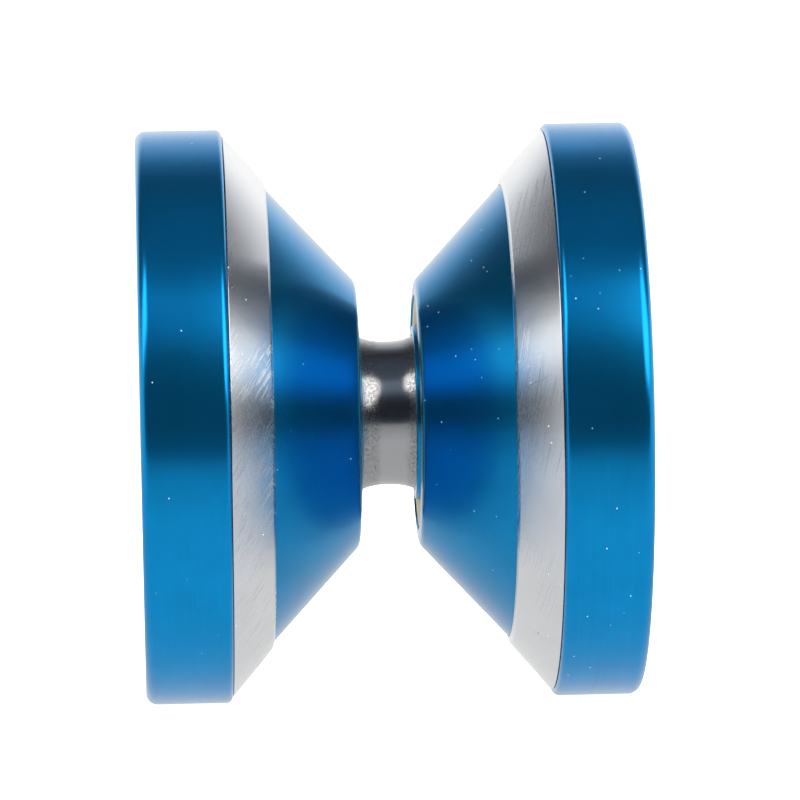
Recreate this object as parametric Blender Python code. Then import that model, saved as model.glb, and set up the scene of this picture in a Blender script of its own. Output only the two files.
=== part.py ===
"""A metal ball-bearing yo-yo: two flared halves, their weight rings, the axle and the bearing.

Lengths are in metres. The axle lies along X with its middle at the origin, and Z is up.
Every turned piece is drawn as points (x, r): x is the distance along the axle from the
middle plane and r the distance from the axle. The left half is the right half turned over.
"""

import math

import bmesh
import bpy
from mathutils import Matrix, Vector

MM = 0.001

# Overall shape of a half.
RIM_RADIUS = 23.7 * MM
OVERALL_WIDTH = 40.8 * MM
RIM_WIDTH = 7.15 * MM
RIM_WALL = 3.4 * MM
RIM_OUTER_FILLET = 0.9 * MM
RIM_INNER_FILLET = 0.5 * MM
RIM_WEB = 1.7 * MM
CUP_EDGE_CHAMFER = 0.3 * MM
CUP_FLOOR_WALL = 1.6 * MM
CONE_WALL = 2.4 * MM
RING_SEAT_WALL = 2.4 * MM

# Gap that the string runs in.
STRING_GAP = 4.34 * MM
GAP_RAKE = math.radians(3.9)
GAP_CORNER_FILLET = 1.1 * MM
POCKET_LIP = 0.68 * MM
PAD_GROOVE_DEPTH = 1.2 * MM
PAD_GROOVE_WIDTH = 2.57 * MM
PAD_OUTER_WALL = 1.2 * MM

# Weight ring, pushed on from the gap side against the rim.
RING_WIDTH = 3.57 * MM
RING_SEAT_DROP = 5.0 * MM
RING_FRONT_HEIGHT = 0.62 * MM
RING_FRONT_BEVEL = 0.2 * MM
RING_BACK_DROP = 0.52 * MM
RING_BACK_LAND = 0.06 * MM

# Response pad.
PAD_THICKNESS = 0.8 * MM

# Axle, a set screw with a hexagon socket in each end.
AXLE_RADIUS = 2.0 * MM
AXLE_LENGTH = 16.0 * MM
AXLE_CHAMFER = 0.4 * MM
AXLE_SOCKET_FLATS = 2.0 * MM
AXLE_SOCKET_DEPTH = 2.2 * MM
AXLE_END_SPACE = 0.4 * MM

# Hub of a half.
HUB_RADIUS = 4.6 * MM
HUB_END_WALL = 1.6 * MM
HUB_CHAMFER = 0.4 * MM
HUB_DIMPLE_RADIUS = 2.2 * MM
HUB_DIMPLE_DEPTH = 0.5 * MM
POST_LENGTH = 1.95 * MM
POST_CHAMFER = 0.2 * MM
SHOULDER_HEIGHT = 0.55 * MM
POCKET_RELIEF = 0.3 * MM

# Bearing.
BEARING_BORE = 6.35 * MM
BEARING_OUTER = 12.7 * MM
BEARING_WIDTH = 4.76 * MM
BALL_COUNT = 10
BALL_SHARE_OF_SECTION = 0.5
RACE_SHOULDER_SHARE = 0.68
RACE_CHAMFER = 0.12 * MM
RACE_DISH_DEPTH = 0.42 * MM
RACE_DISH_LAND = 0.2 * MM
CAGE_THICKNESS = 0.6 * MM
CAGE_FINGER = 0.45 * MM
SHIELD_THICKNESS = 0.2 * MM
SHIELD_STEP = 0.3 * MM
CLIP_WIDTH = 0.26 * MM
CLIP_HEIGHT = 0.42 * MM
CLIP_GROOVE_DEPTH = 0.16 * MM
CLIP_LIP = 0.36 * MM
CLIP_OPENING = math.radians(24.0)

# Clearances.
RING_FIT = 0.05 * MM
PAD_FIT = 0.06 * MM
THREAD_FIT = 0.06 * MM
POST_FIT = 0.05 * MM
SEAT_FIT = 0.05 * MM
POCKET_CLEARANCE = 0.15 * MM
RACEWAY_FIT = 0.055 * MM
CAGE_CLEARANCE = 0.08 * MM
CAGE_SHIELD_CLEARANCE = 0.12 * MM
SHIELD_FIT = 0.04 * MM
SHIELD_RUNNING_GAP = 0.12 * MM

# Facets round each piece.
BODY_SEGMENTS = 48
PAD_SEGMENTS = 48
RACE_SEGMENTS = 40
AXLE_SEGMENTS = 24
POCKET_SEGMENTS = 16

# Sizes worked out from the ones above.
HALF_WIDTH = OVERALL_WIDTH / 2
LIP_X = STRING_GAP / 2
RIM_FRONT_X = HALF_WIDTH - RIM_WIDTH
RING_FRONT_X = RIM_FRONT_X - RING_WIDTH
SEAT_RADIUS = RIM_RADIUS - RING_SEAT_DROP
POCKET_RADIUS = BEARING_OUTER / 2 + POCKET_CLEARANCE
PAD_GROOVE_INNER = POCKET_RADIUS + POCKET_LIP
PAD_GROOVE_OUTER = PAD_GROOVE_INNER + PAD_GROOVE_WIDTH
GAP_FACE_RADIUS = PAD_GROOVE_OUTER + PAD_OUTER_WALL
PAD_FLOOR_X = LIP_X + PAD_GROOVE_DEPTH
CUP_FLOOR_X = PAD_FLOOR_X + CUP_FLOOR_WALL
BEARING_SEAT_X = BEARING_WIDTH / 2 + SEAT_FIT
POST_RADIUS = BEARING_BORE / 2 - POST_FIT
THREAD_RADIUS = AXLE_RADIUS + THREAD_FIT
THREAD_END_X = AXLE_LENGTH / 2 + AXLE_END_SPACE
HUB_END_X = THREAD_END_X + HUB_END_WALL + HUB_DIMPLE_DEPTH
BEARING_SECTION = (BEARING_OUTER - BEARING_BORE) / 2
BALL_RADIUS = BEARING_SECTION * BALL_SHARE_OF_SECTION / 2
PITCH_RADIUS = (BEARING_OUTER + BEARING_BORE) / 4
RACEWAY_RADIUS = BALL_RADIUS + RACEWAY_FIT
SHOULDER_OFFSET = BALL_RADIUS * RACE_SHOULDER_SHARE
OUTER_SHOULDER = PITCH_RADIUS + SHOULDER_OFFSET
INNER_SHOULDER = PITCH_RADIUS - SHOULDER_OFFSET
POCKET_HOLE_RADIUS = BALL_RADIUS + CAGE_CLEARANCE
SHIELD_SEAT_RADIUS = OUTER_SHOULDER + SHIELD_STEP
CLIP_RADIUS = SHIELD_SEAT_RADIUS + CLIP_GROOVE_DEPTH
CLIP_X = BEARING_WIDTH / 2 - CLIP_LIP - SHIELD_FIT - CLIP_WIDTH
SHIELD_X = CLIP_X - SHIELD_FIT - SHIELD_THICKNESS
CAGE_END_X = SHIELD_X - CAGE_SHIELD_CLEARANCE

RIGHT = Matrix.Identity(4)
LEFT = Matrix.Rotation(math.pi, 4, "Z")


def material(name, colour, roughness, metallic):
    """A plain Principled finish."""
    made = bpy.data.materials.new(name)
    made.use_nodes = True
    shader = made.node_tree.nodes["Principled BSDF"]
    shader.inputs["Base Color"].default_value = (*colour, 1.0)
    shader.inputs["Roughness"].default_value = roughness
    shader.inputs["Metallic"].default_value = metallic
    made.diffuse_color = (*colour, 1.0)
    return made


def place(name, mesh, finish, matrix=RIGHT):
    """Link a mesh into the scene under a name, turned to its side of the axle."""
    if not mesh.materials:
        mesh.materials.append(finish)
    mesh.shade_smooth()
    mesh.set_sharp_from_angle(angle=math.radians(30.0))
    made = bpy.data.objects.new(name, mesh)
    bpy.context.scene.collection.objects.link(made)
    made.matrix_basis = matrix
    return made


def turned(name, profile, segments):
    """A mesh turned from a closed profile of (x, r) points; points at r = 0 are on the axle."""
    shape = bmesh.new()
    points = [shape.verts.new((x, 0.0, r)) for x, r in profile]
    edges = [shape.edges.new(pair) for pair in zip(points, points[1:])]
    if profile[0][1] > 0.0:
        edges.append(shape.edges.new((points[-1], points[0])))
    bmesh.ops.spin(shape, geom=points + edges, cent=(0, 0, 0), axis=(1, 0, 0),
                   angle=2 * math.pi, steps=segments, use_merge=True)
    bmesh.ops.remove_doubles(shape, verts=shape.verts, dist=1e-7)
    bmesh.ops.recalc_face_normals(shape, faces=shape.faces)
    mesh = bpy.data.meshes.new(name)
    shape.to_mesh(mesh)
    shape.free()
    return mesh


def arc(centre, radius, start, end, steps):
    """Points (x, r) on an arc, with the angles in degrees from the +x direction."""
    angles = [math.radians(start + (end - start) * i / steps) for i in range(steps + 1)]
    return [(centre[0] + radius * math.cos(a), centre[1] + radius * math.sin(a)) for a in angles]


def rounded(before, corner, after, radius, steps):
    """The corner of a profile as an arc that is tangent to both of its sides."""
    corner = Vector(corner)
    to_before = (Vector(before) - corner).normalized()
    to_after = (Vector(after) - corner).normalized()
    half_angle = to_before.angle(to_after) / 2
    reach = radius / math.tan(half_angle)
    middle = corner + (to_before + to_after).normalized() * radius / math.sin(half_angle)
    start = corner + to_before * reach - middle
    end = corner + to_after * reach - middle
    turn = start.angle_signed(end)
    points = []
    for i in range(steps + 1):
        spoke = start.copy()
        spoke.rotate(Matrix.Rotation(-turn * i / steps, 2))
        points.append(tuple(middle + spoke))
    return points


def gap_face_x(radius):
    """Distance of the raked gap face from the middle plane."""
    return LIP_X + (radius - POCKET_RADIUS) * math.tan(GAP_RAKE)


def half_profile():
    """A half: thread, post, bearing pocket, pad groove, cone, ring seat, rim, cup and hub."""
    shoulder_radius = POST_RADIUS + SHOULDER_HEIGHT
    relief_x = BEARING_SEAT_X + POCKET_RELIEF
    post_end_x = BEARING_SEAT_X - POST_LENGTH
    pocket = [(THREAD_END_X, 0.0),
              (THREAD_END_X, THREAD_RADIUS),
              (post_end_x, THREAD_RADIUS),
              (post_end_x, POST_RADIUS - POST_CHAMFER),
              (post_end_x + POST_CHAMFER, POST_RADIUS),
              (BEARING_SEAT_X, POST_RADIUS),
              (BEARING_SEAT_X, shoulder_radius),
              (relief_x, shoulder_radius),
              (relief_x, POCKET_RADIUS),
              (LIP_X, POCKET_RADIUS),
              (gap_face_x(PAD_GROOVE_INNER), PAD_GROOVE_INNER),
              (PAD_FLOOR_X, PAD_GROOVE_INNER),
              (PAD_FLOOR_X, PAD_GROOVE_OUTER),
              (gap_face_x(PAD_GROOVE_OUTER), PAD_GROOVE_OUTER)]

    gap_corner = (gap_face_x(GAP_FACE_RADIUS), GAP_FACE_RADIUS)
    cone_end = (RING_FRONT_X, SEAT_RADIUS)
    cone = rounded(pocket[-1], gap_corner, cone_end, GAP_CORNER_FILLET, 3)
    cone += [cone_end, (RIM_FRONT_X, SEAT_RADIUS)]

    rim = arc((RIM_FRONT_X + RIM_INNER_FILLET, RIM_RADIUS - RIM_INNER_FILLET),
              RIM_INNER_FILLET, 180.0, 90.0, 3)
    rim += arc((HALF_WIDTH - RIM_OUTER_FILLET, RIM_RADIUS - RIM_OUTER_FILLET),
               RIM_OUTER_FILLET, 90.0, 0.0, 4)

    cup_radius = RIM_RADIUS - RIM_WALL
    web_x = RIM_FRONT_X + RIM_WEB
    seat_inner = SEAT_RADIUS - RING_SEAT_WALL
    slope = (cone_end[0] - gap_corner[0]) / (cone_end[1] - gap_corner[1])
    wall_x = CONE_WALL * math.hypot(1.0, slope)

    def inner_cone_x(radius):
        return gap_corner[0] + (radius - gap_corner[1]) * slope + wall_x

    floor_radius = gap_corner[1] + (CUP_FLOOR_X - wall_x - gap_corner[0]) / slope
    cup = [(HALF_WIDTH, cup_radius + CUP_EDGE_CHAMFER),
           (HALF_WIDTH - CUP_EDGE_CHAMFER, cup_radius),
           (web_x, cup_radius),
           (web_x, seat_inner),
           (inner_cone_x(seat_inner), seat_inner),
           (CUP_FLOOR_X, floor_radius)]
    hub = [(CUP_FLOOR_X, HUB_RADIUS),
           (HUB_END_X - HUB_CHAMFER, HUB_RADIUS),
           (HUB_END_X, HUB_RADIUS - HUB_CHAMFER),
           (HUB_END_X, HUB_DIMPLE_RADIUS),
           (HUB_END_X - HUB_DIMPLE_DEPTH, HUB_DIMPLE_RADIUS),
           (HUB_END_X - HUB_DIMPLE_DEPTH, 0.0)]
    return pocket + cone + rim + cup + hub


def ring_profile():
    """A weight ring: bevelled front edge, and a cone that ends at the rim in a hair-wide land."""
    bore = SEAT_RADIUS + RING_FIT
    back_x = RIM_FRONT_X - RING_FIT
    back_radius = RIM_RADIUS - RING_BACK_DROP
    return [(RING_FRONT_X, bore),
            (RING_FRONT_X + RING_FRONT_BEVEL, bore + RING_FRONT_HEIGHT),
            (back_x - RING_BACK_LAND, back_radius),
            (back_x, back_radius),
            (back_x, bore)]


def pad_profile():
    """A response pad: a flat ring lying in its groove, just below the lips."""
    back_x = PAD_FLOOR_X - PAD_FIT
    front_x = back_x - PAD_THICKNESS
    inner = PAD_GROOVE_INNER + PAD_FIT
    outer = PAD_GROOVE_OUTER - PAD_FIT
    return [(back_x, inner), (front_x, inner), (front_x, outer), (back_x, outer)]


def mirrored(side):
    """A profile drawn for x > 0, closed by its mirror image."""
    return side + [(-x, r) for x, r in reversed(side) if x > 0.0]


def outer_race_profile():
    """The outer race: dished outside, ball groove, shield steps and clip grooves inside."""
    width = BEARING_WIDTH / 2
    radius = BEARING_OUTER / 2
    span = width - RACE_CHAMFER - RACE_DISH_LAND
    dish = (span ** 2 + RACE_DISH_DEPTH ** 2) / (2 * RACE_DISH_DEPTH)
    steps = 4
    dish_points = []
    for i in range(steps + 1):
        x = span * i / steps
        dish_points.append((x, radius - RACE_DISH_DEPTH + dish - math.sqrt(dish ** 2 - x ** 2)))
    edge = [(width - RACE_CHAMFER, radius),
            (width, radius - RACE_CHAMFER),
            (width, SHIELD_SEAT_RADIUS),
            (CLIP_X + CLIP_WIDTH + SHIELD_FIT, SHIELD_SEAT_RADIUS),
            (CLIP_X + CLIP_WIDTH + SHIELD_FIT, CLIP_RADIUS),
            (CLIP_X - SHIELD_FIT / 2, CLIP_RADIUS),
            (CLIP_X - SHIELD_FIT / 2, SHIELD_SEAT_RADIUS),
            (SHIELD_X - SHIELD_FIT, SHIELD_SEAT_RADIUS),
            (SHIELD_X - SHIELD_FIT, OUTER_SHOULDER)]
    shoulder_angle = math.degrees(math.asin(SHOULDER_OFFSET / RACEWAY_RADIUS))
    raceway = arc((0.0, PITCH_RADIUS), RACEWAY_RADIUS, shoulder_angle, 90.0, 3)
    raceway[-1] = (0.0, PITCH_RADIUS + RACEWAY_RADIUS)
    return mirrored(dish_points + edge + raceway)


def inner_race_profile():
    """The inner race: plain bore and a ball groove outside."""
    width = BEARING_WIDTH / 2
    bore = BEARING_BORE / 2
    shoulder_angle = math.degrees(math.asin(SHOULDER_OFFSET / RACEWAY_RADIUS))
    raceway = arc((0.0, PITCH_RADIUS), RACEWAY_RADIUS, -90.0, -shoulder_angle, 3)
    raceway[0] = (0.0, PITCH_RADIUS - RACEWAY_RADIUS)
    side = raceway + [(width - RACE_CHAMFER, INNER_SHOULDER),
                      (width, INNER_SHOULDER - RACE_CHAMFER),
                      (width, bore + RACE_CHAMFER),
                      (width - RACE_CHAMFER, bore)]
    return mirrored(side)


def shield_profile():
    """A bearing shield: a thin washer seated in the outer race, clear of the inner race."""
    inner = INNER_SHOULDER + SHIELD_RUNNING_GAP
    outer = SHIELD_SEAT_RADIUS - SHIELD_FIT
    back_x = SHIELD_X + SHIELD_THICKNESS
    return [(SHIELD_X, inner), (SHIELD_X, outer), (back_x, outer), (back_x, inner)]


def clip_mesh(name):
    """A snap ring: a square wire bent into an open circle, in its groove in the outer race."""
    outer = CLIP_RADIUS - SHIELD_FIT
    inner = outer - CLIP_HEIGHT
    corners = [(CLIP_X, inner), (CLIP_X, outer), (CLIP_X + CLIP_WIDTH, outer),
               (CLIP_X + CLIP_WIDTH, inner)]
    shape = bmesh.new()
    section = shape.faces.new([shape.verts.new((x, 0.0, r)) for x, r in corners])
    start = Matrix.Rotation(CLIP_OPENING / 2, 3, "X")
    bmesh.ops.rotate(shape, verts=shape.verts, matrix=start)
    bmesh.ops.spin(shape, geom=[section], cent=(0, 0, 0), axis=(1, 0, 0),
                   angle=2 * math.pi - CLIP_OPENING, steps=RACE_SEGMENTS)
    bmesh.ops.recalc_face_normals(shape, faces=shape.faces)
    mesh = bpy.data.meshes.new(name)
    shape.to_mesh(mesh)
    shape.free()
    return mesh


def ball_mesh():
    """A ball."""
    shape = bmesh.new()
    bmesh.ops.create_icosphere(shape, subdivisions=2, radius=BALL_RADIUS)
    mesh = bpy.data.meshes.new("ball")
    shape.to_mesh(mesh)
    shape.free()
    return mesh


def ball_centre(index):
    """Where a ball sits on the pitch circle."""
    angle = 2 * math.pi * index / BALL_COUNT
    return Vector((0.0, PITCH_RADIUS * math.sin(angle), PITCH_RADIUS * math.cos(angle)))


def cutter_mesh(centre):
    """A round cutter that stands along a ball's radius of the pitch circle."""
    shape = bmesh.new()
    bmesh.ops.create_cone(shape, cap_ends=True, segments=POCKET_SEGMENTS,
                          radius1=POCKET_HOLE_RADIUS, radius2=POCKET_HOLE_RADIUS,
                          depth=4 * CAGE_THICKNESS)
    half_facet = Matrix.Rotation(math.pi / POCKET_SEGMENTS, 4, "Z")
    upright = Vector((0.0, 0.0, 1.0)).rotation_difference(centre).to_matrix().to_4x4()
    bmesh.ops.transform(shape, verts=shape.verts,
                        matrix=Matrix.Translation(centre) @ upright @ half_facet)
    mesh = bpy.data.meshes.new("cage_pocket_cutter")
    shape.to_mesh(mesh)
    shape.free()
    return mesh


def cut(target, mesh, finish):
    """Subtract a mesh, kept in the scene as a wire-frame cutter, from an object."""
    cutter = place("cutter", mesh, finish)
    cutter.hide_render = True
    cutter.display_type = "WIRE"
    modifier = target.modifiers.new("cut", "BOOLEAN")
    modifier.operation = "DIFFERENCE"
    modifier.object = cutter


def cage(finish, cutter_finish):
    """The crown cage: a band beside the balls with fingers that reach between them."""
    inner = PITCH_RADIUS - CAGE_THICKNESS / 2
    outer = PITCH_RADIUS + CAGE_THICKNESS / 2
    profile = [(-CAGE_FINGER, inner), (-CAGE_FINGER, outer), (CAGE_END_X, outer), (CAGE_END_X, inner)]
    made = place("ball_cage", turned("ball_cage", profile, RACE_SEGMENTS), finish)
    cutters = bmesh.new()
    for index in range(BALL_COUNT):
        pocket = cutter_mesh(ball_centre(index))
        cutters.from_mesh(pocket)
        bpy.data.meshes.remove(pocket)
    mesh = bpy.data.meshes.new("cage_pocket_cutters")
    cutters.to_mesh(mesh)
    cutters.free()
    cut(made, mesh, cutter_finish)
    return made


def axle(finish, cutter_finish):
    """The axle, with a hexagon socket cut into each end."""
    end = AXLE_LENGTH / 2
    profile = [(-end, 0.0), (-end, AXLE_RADIUS - AXLE_CHAMFER), (-end + AXLE_CHAMFER, AXLE_RADIUS),
               (end - AXLE_CHAMFER, AXLE_RADIUS), (end, AXLE_RADIUS - AXLE_CHAMFER), (end, 0.0)]
    made = place("axle", turned("axle", profile, AXLE_SEGMENTS), finish)
    sockets = bmesh.new()
    corner_radius = AXLE_SOCKET_FLATS / math.sqrt(3.0)
    for side in (-1, 1):
        turn = Matrix.Translation((side * end, 0, 0)) @ Matrix.Rotation(math.pi / 2, 4, "Y")
        bmesh.ops.create_cone(sockets, cap_ends=True, segments=6, radius1=corner_radius,
                              radius2=corner_radius, depth=2 * AXLE_SOCKET_DEPTH, matrix=turn)
    mesh = bpy.data.meshes.new("axle_socket_cutters")
    sockets.to_mesh(mesh)
    sockets.free()
    cut(made, mesh, cutter_finish)
    return made


def build():
    """Clear the scene and model every piece."""
    for old in list(bpy.data.objects):
        bpy.data.objects.remove(old, do_unlink=True)

    anodised = material("blue_anodised_aluminium", (0.005, 0.19, 0.46), 0.22, 1.0)
    ring_steel = material("polished_ring_steel", (0.70, 0.71, 0.74), 0.16, 1.0)
    race_steel = material("polished_bearing_steel", (0.55, 0.54, 0.53), 0.12, 1.0)
    axle_steel = material("dark_axle_steel", (0.20, 0.20, 0.21), 0.35, 1.0)
    silicone = material("cream_silicone", (0.74, 0.66, 0.45), 0.60, 0.0)
    brass = material("cage_brass", (0.72, 0.52, 0.22), 0.30, 1.0)
    cutter_finish = material("cutter_grey", (0.5, 0.5, 0.5), 0.5, 0.0)

    half = turned("half", half_profile(), BODY_SEGMENTS)
    ring = turned("weight_ring", ring_profile(), BODY_SEGMENTS)
    pad = turned("response_pad", pad_profile(), PAD_SEGMENTS)
    shield = turned("bearing_shield", shield_profile(), RACE_SEGMENTS)
    clip = clip_mesh("shield_clip")
    for side, matrix in (("left", LEFT), ("right", RIGHT)):
        place(side + "_half", half, anodised, matrix)
        place(side + "_weight_ring", ring, ring_steel, matrix)
        place(side + "_response_pad", pad, silicone, matrix)
        place(side + "_bearing_shield", shield, race_steel, matrix)
        place(side + "_shield_clip", clip, axle_steel, matrix)

    axle(axle_steel, cutter_finish)
    place("bearing_outer_race", turned("outer_race", outer_race_profile(), RACE_SEGMENTS), race_steel)
    place("bearing_inner_race", turned("inner_race", inner_race_profile(), RACE_SEGMENTS), race_steel)
    cage(brass, cutter_finish)
    ball = ball_mesh()
    for index in range(BALL_COUNT):
        place(f"ball_{index + 1:02d}", ball, race_steel, Matrix.Translation(ball_centre(index)))


build()
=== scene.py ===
"""The finished look of a metal ball-bearing yo-yo, built round its fixed CAD frame.

Lengths are in metres. The axle lies along X with its middle at the origin, and Z is up.
A profile is a list of corners (x, r) or (x, r, fillet): x runs along the axle from the
middle plane and r is the distance from the axle. The left side is the right side turned
half a turn about Z.
"""

import math

import bmesh
import bpy
from bpy.props import FloatProperty, FloatVectorProperty, IntProperty, PointerProperty
from mathutils import Matrix, Vector


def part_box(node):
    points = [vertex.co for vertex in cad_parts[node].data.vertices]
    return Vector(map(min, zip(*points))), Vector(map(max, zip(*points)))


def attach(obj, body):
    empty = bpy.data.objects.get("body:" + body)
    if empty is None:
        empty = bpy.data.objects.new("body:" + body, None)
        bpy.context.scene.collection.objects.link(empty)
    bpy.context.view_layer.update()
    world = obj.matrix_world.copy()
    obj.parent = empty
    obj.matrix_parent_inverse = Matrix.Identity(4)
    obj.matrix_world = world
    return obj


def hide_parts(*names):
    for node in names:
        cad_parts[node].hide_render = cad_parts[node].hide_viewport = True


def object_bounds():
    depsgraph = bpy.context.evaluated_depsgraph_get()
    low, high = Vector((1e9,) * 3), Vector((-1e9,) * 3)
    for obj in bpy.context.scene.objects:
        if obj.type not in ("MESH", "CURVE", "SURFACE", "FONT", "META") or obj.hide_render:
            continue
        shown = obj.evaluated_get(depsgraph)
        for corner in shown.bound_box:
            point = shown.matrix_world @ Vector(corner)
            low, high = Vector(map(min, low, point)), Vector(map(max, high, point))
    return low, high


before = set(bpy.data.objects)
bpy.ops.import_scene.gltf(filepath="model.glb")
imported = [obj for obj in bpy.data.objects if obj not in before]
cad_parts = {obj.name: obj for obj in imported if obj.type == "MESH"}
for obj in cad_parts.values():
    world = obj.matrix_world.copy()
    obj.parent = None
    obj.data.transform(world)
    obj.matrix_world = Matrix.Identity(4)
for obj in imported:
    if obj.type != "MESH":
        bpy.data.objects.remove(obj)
CAD_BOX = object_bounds()

bl_info = {
    "name": "Bearing yo-yo workbench",
    "version": (1, 0, 0),
    "blender": (4, 5, 0),
    "location": "View3D > Sidebar > Yo-yo",
    "description": "Builds the turned halves, weight rings, pads, axle and bearing of a yo-yo",
    "category": "Object",
}

MM = 0.001
SIDES = {"left": Matrix.Rotation(math.pi, 4, "Z"), "right": Matrix.Identity(4)}
SIDE_BODY = {"left": "left_side", "right": "right_side"}
PAD_BODY = {"left": "left_side", "right": "right_pad"}


def reach(node):
    """(nearest x, farthest x, radius) of a CAD node of the right side or the middle."""
    low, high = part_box(node)
    return low[0], high[0], high[2]


# --- Sizes taken from the frame ---------------------------------------------------------

POST_END_X, RIM_OUTER_X, RIM_RADIUS = reach("right_half")
RING_FRONT_X, RING_BACK_X, RING_BACK_RADIUS = reach("right_weight_ring")
PAD_FRONT_X, PAD_BACK_X, PAD_RADIUS = reach("right_response_pad")
AXLE_END_X, AXLE_RADIUS = reach("axle")[1:]
RACE_SIDE_X, RACE_RADIUS = reach("bearing_outer_race")[1:]
INNER_RACE_SIDE_X, INNER_SHOULDER = reach("bearing_inner_race")[1:]
SHIELD_FRONT_X, SHIELD_BACK_X, SHIELD_RADIUS = reach("right_bearing_shield")
CLIP_FRONT_X, CLIP_BACK_X, CLIP_RADIUS = reach("right_shield_clip")

# --- Sizes of the details ---------------------------------------------------------------

RING_FIT = 0.05 * MM
PAD_FIT = 0.06 * MM
RIM_FRONT_X = RING_BACK_X + RING_FIT
SEAT_RADIUS = 18.7 * MM
RING_SEAT_INNER = 16.3 * MM
CUP_RADIUS = 20.3 * MM
WEB_X = 14.95 * MM
CUP_FLOOR_X = 4.97 * MM
CUP_FLOOR_RADIUS = 10.07 * MM
CUP_WALL_X = 10.73 * MM
THREAD_HOLE_RADIUS = 2.06 * MM
THREAD_HOLE_END_X = 8.4 * MM
POST_RADIUS = 3.125 * MM
SHOULDER_RADIUS = 3.675 * MM
BEARING_SEAT_X = 2.43 * MM
POCKET_FLOOR_X = 2.73 * MM
POCKET_RADIUS = 6.5 * MM
LIP_X = 2.17 * MM
PAD_GROOVE_INNER = 7.18 * MM
PAD_GROOVE_OUTER = PAD_RADIUS + PAD_FIT
PAD_FLOOR_X = PAD_BACK_X + PAD_FIT
GAP_FACE_RADIUS = 10.95 * MM
GAP_RAKE = math.radians(3.9)
HUB_RADIUS = 4.6 * MM
HUB_END_X = 10.5 * MM
HUB_DIMPLE_RADIUS = 2.2 * MM
HUB_DIMPLE_DEPTH = 0.5 * MM
PAD_CROWN = 0.05 * MM
BORE_RADIUS = 3.175 * MM
BALL_PITCH_RADIUS = (RACE_RADIUS + BORE_RADIUS) / 2
BALL_GROOVE_RADIUS = 0.849 * MM
BALL_GROOVE_STEPS = 6
OUTER_SHOULDER = BALL_PITCH_RADIUS + 0.54 * MM
RACE_FIT = 0.04 * MM
DISH_STEPS = 16
CLIP_DEPTH = 0.42 * MM
CLIP_OPENING = math.radians(24.0)
THREAD_FACETS = 48
THREAD_STEPS_PER_TURN = 10
TABLE_REACH = 3.0
TABLE_DROP = 0.02 * MM


# --- What a user would change -----------------------------------------------------------


def length(name, description, default):
    """A length property shown in millimetres."""
    return FloatProperty(name=name, description=description, default=default, min=0.0,
                         subtype="DISTANCE", unit="LENGTH", precision=5)


def colour(name, description, default):
    """A linear colour property."""
    return FloatVectorProperty(name=name, description=description, default=default, size=3,
                               min=0.0, max=1.0, subtype="COLOR")


def share(name, description, default):
    """A property between 0 and 1."""
    return FloatProperty(name=name, description=description, default=default, min=0.0,
                         max=1.0, subtype="FACTOR")


class YoyoSizes(bpy.types.PropertyGroup):
    """Small radii and steps that the frame leaves plain."""

    rim_outer_fillet: length("Rim outer fillet", "Rounding of the rim's outer edge",
                             0.9 * MM)
    rim_inner_fillet: length("Rim inner fillet", "Rounding of the rim's edge by the ring",
                             0.5 * MM)
    gap_corner_fillet: length("Gap corner fillet", "Rounding between gap face and cone",
                              1.1 * MM)
    broken_edge: length("Broken edge", "Rounding of every other machined edge", 0.06 * MM)
    cup_fillet: length("Cup fillet", "Tool radius left in the corners of the cup", 0.8 * MM)
    ring_bevel_height: length("Ring bevel height", "Front bevel of a ring, outward", 0.62 * MM)
    ring_bevel_depth: length("Ring bevel depth", "Front bevel of a ring, along the axle",
                             0.2 * MM)
    ring_land: length("Ring land", "Flat land of a ring against the rim", 0.06 * MM)
    pad_edge: length("Pad edge", "Rounding of a pad's edges", 0.16 * MM)
    dish_depth: length("Race dish", "Depth of the dish round the outer race", 0.42 * MM)
    dish_flatness: FloatProperty(name="Dish flatness", default=2.4, min=2.0, max=6.0,
                                 description="How flat the bottom of the race's dish is")
    thread_pitch: length("Thread pitch", "Pitch of the axle's thread", 0.7 * MM)
    socket_flats: length("Socket", "Across the flats of the axle's sockets", 2.0 * MM)
    socket_depth: length("Socket depth", "Depth of the axle's sockets", 2.2 * MM)
    segments: IntProperty(name="Segments", description="Facets round a large turned piece",
                          default=240, min=24, max=720)


class YoyoFinishes(bpy.types.PropertyGroup):
    """Colours and polish of the finishes."""

    anodised: colour("Anodised blue", "Colour of the dyed, anodised rims",
                     (0.0035, 0.315, 0.70))
    # Darker blue for the cones is painted shade: the string gap between the halves is shaded,
    # not dyed deeper.
    cone_blue_painted_shade: colour("Cone blue", "Deeper colour inside the string gap",
                          (0.003, 0.265, 0.57))
    anodised_roughness: share("Anodised roughness", "Satin of the rims", 0.23)
    cone_roughness: share("Cone roughness", "Satin of the cones", 0.20)
    ring_metal: colour("Ring metal", "Bare metal of the weight rings", (0.86, 0.865, 0.87))
    ring_roughness: share("Ring roughness", "Polish of the weight rings", 0.21)
    race_metal: colour("Race metal", "Ground steel of the bearing", (0.47, 0.465, 0.46))
    race_roughness: share("Race roughness", "Polish of the bearing", 0.14)
    silicone: colour("Silicone", "Colour of the response pads", (0.74, 0.66, 0.45))
    oxide: colour("Black oxide", "Colour of the axle", (0.16, 0.16, 0.17))
    brass: colour("Brass", "Colour of the ball cage", (0.72, 0.52, 0.22))
    spring_metal: colour("Spring steel", "Colour of the snap rings", (0.42, 0.42, 0.44))
    dust: share("Dust", "How much dust lies on the halves", 0.5)


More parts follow.
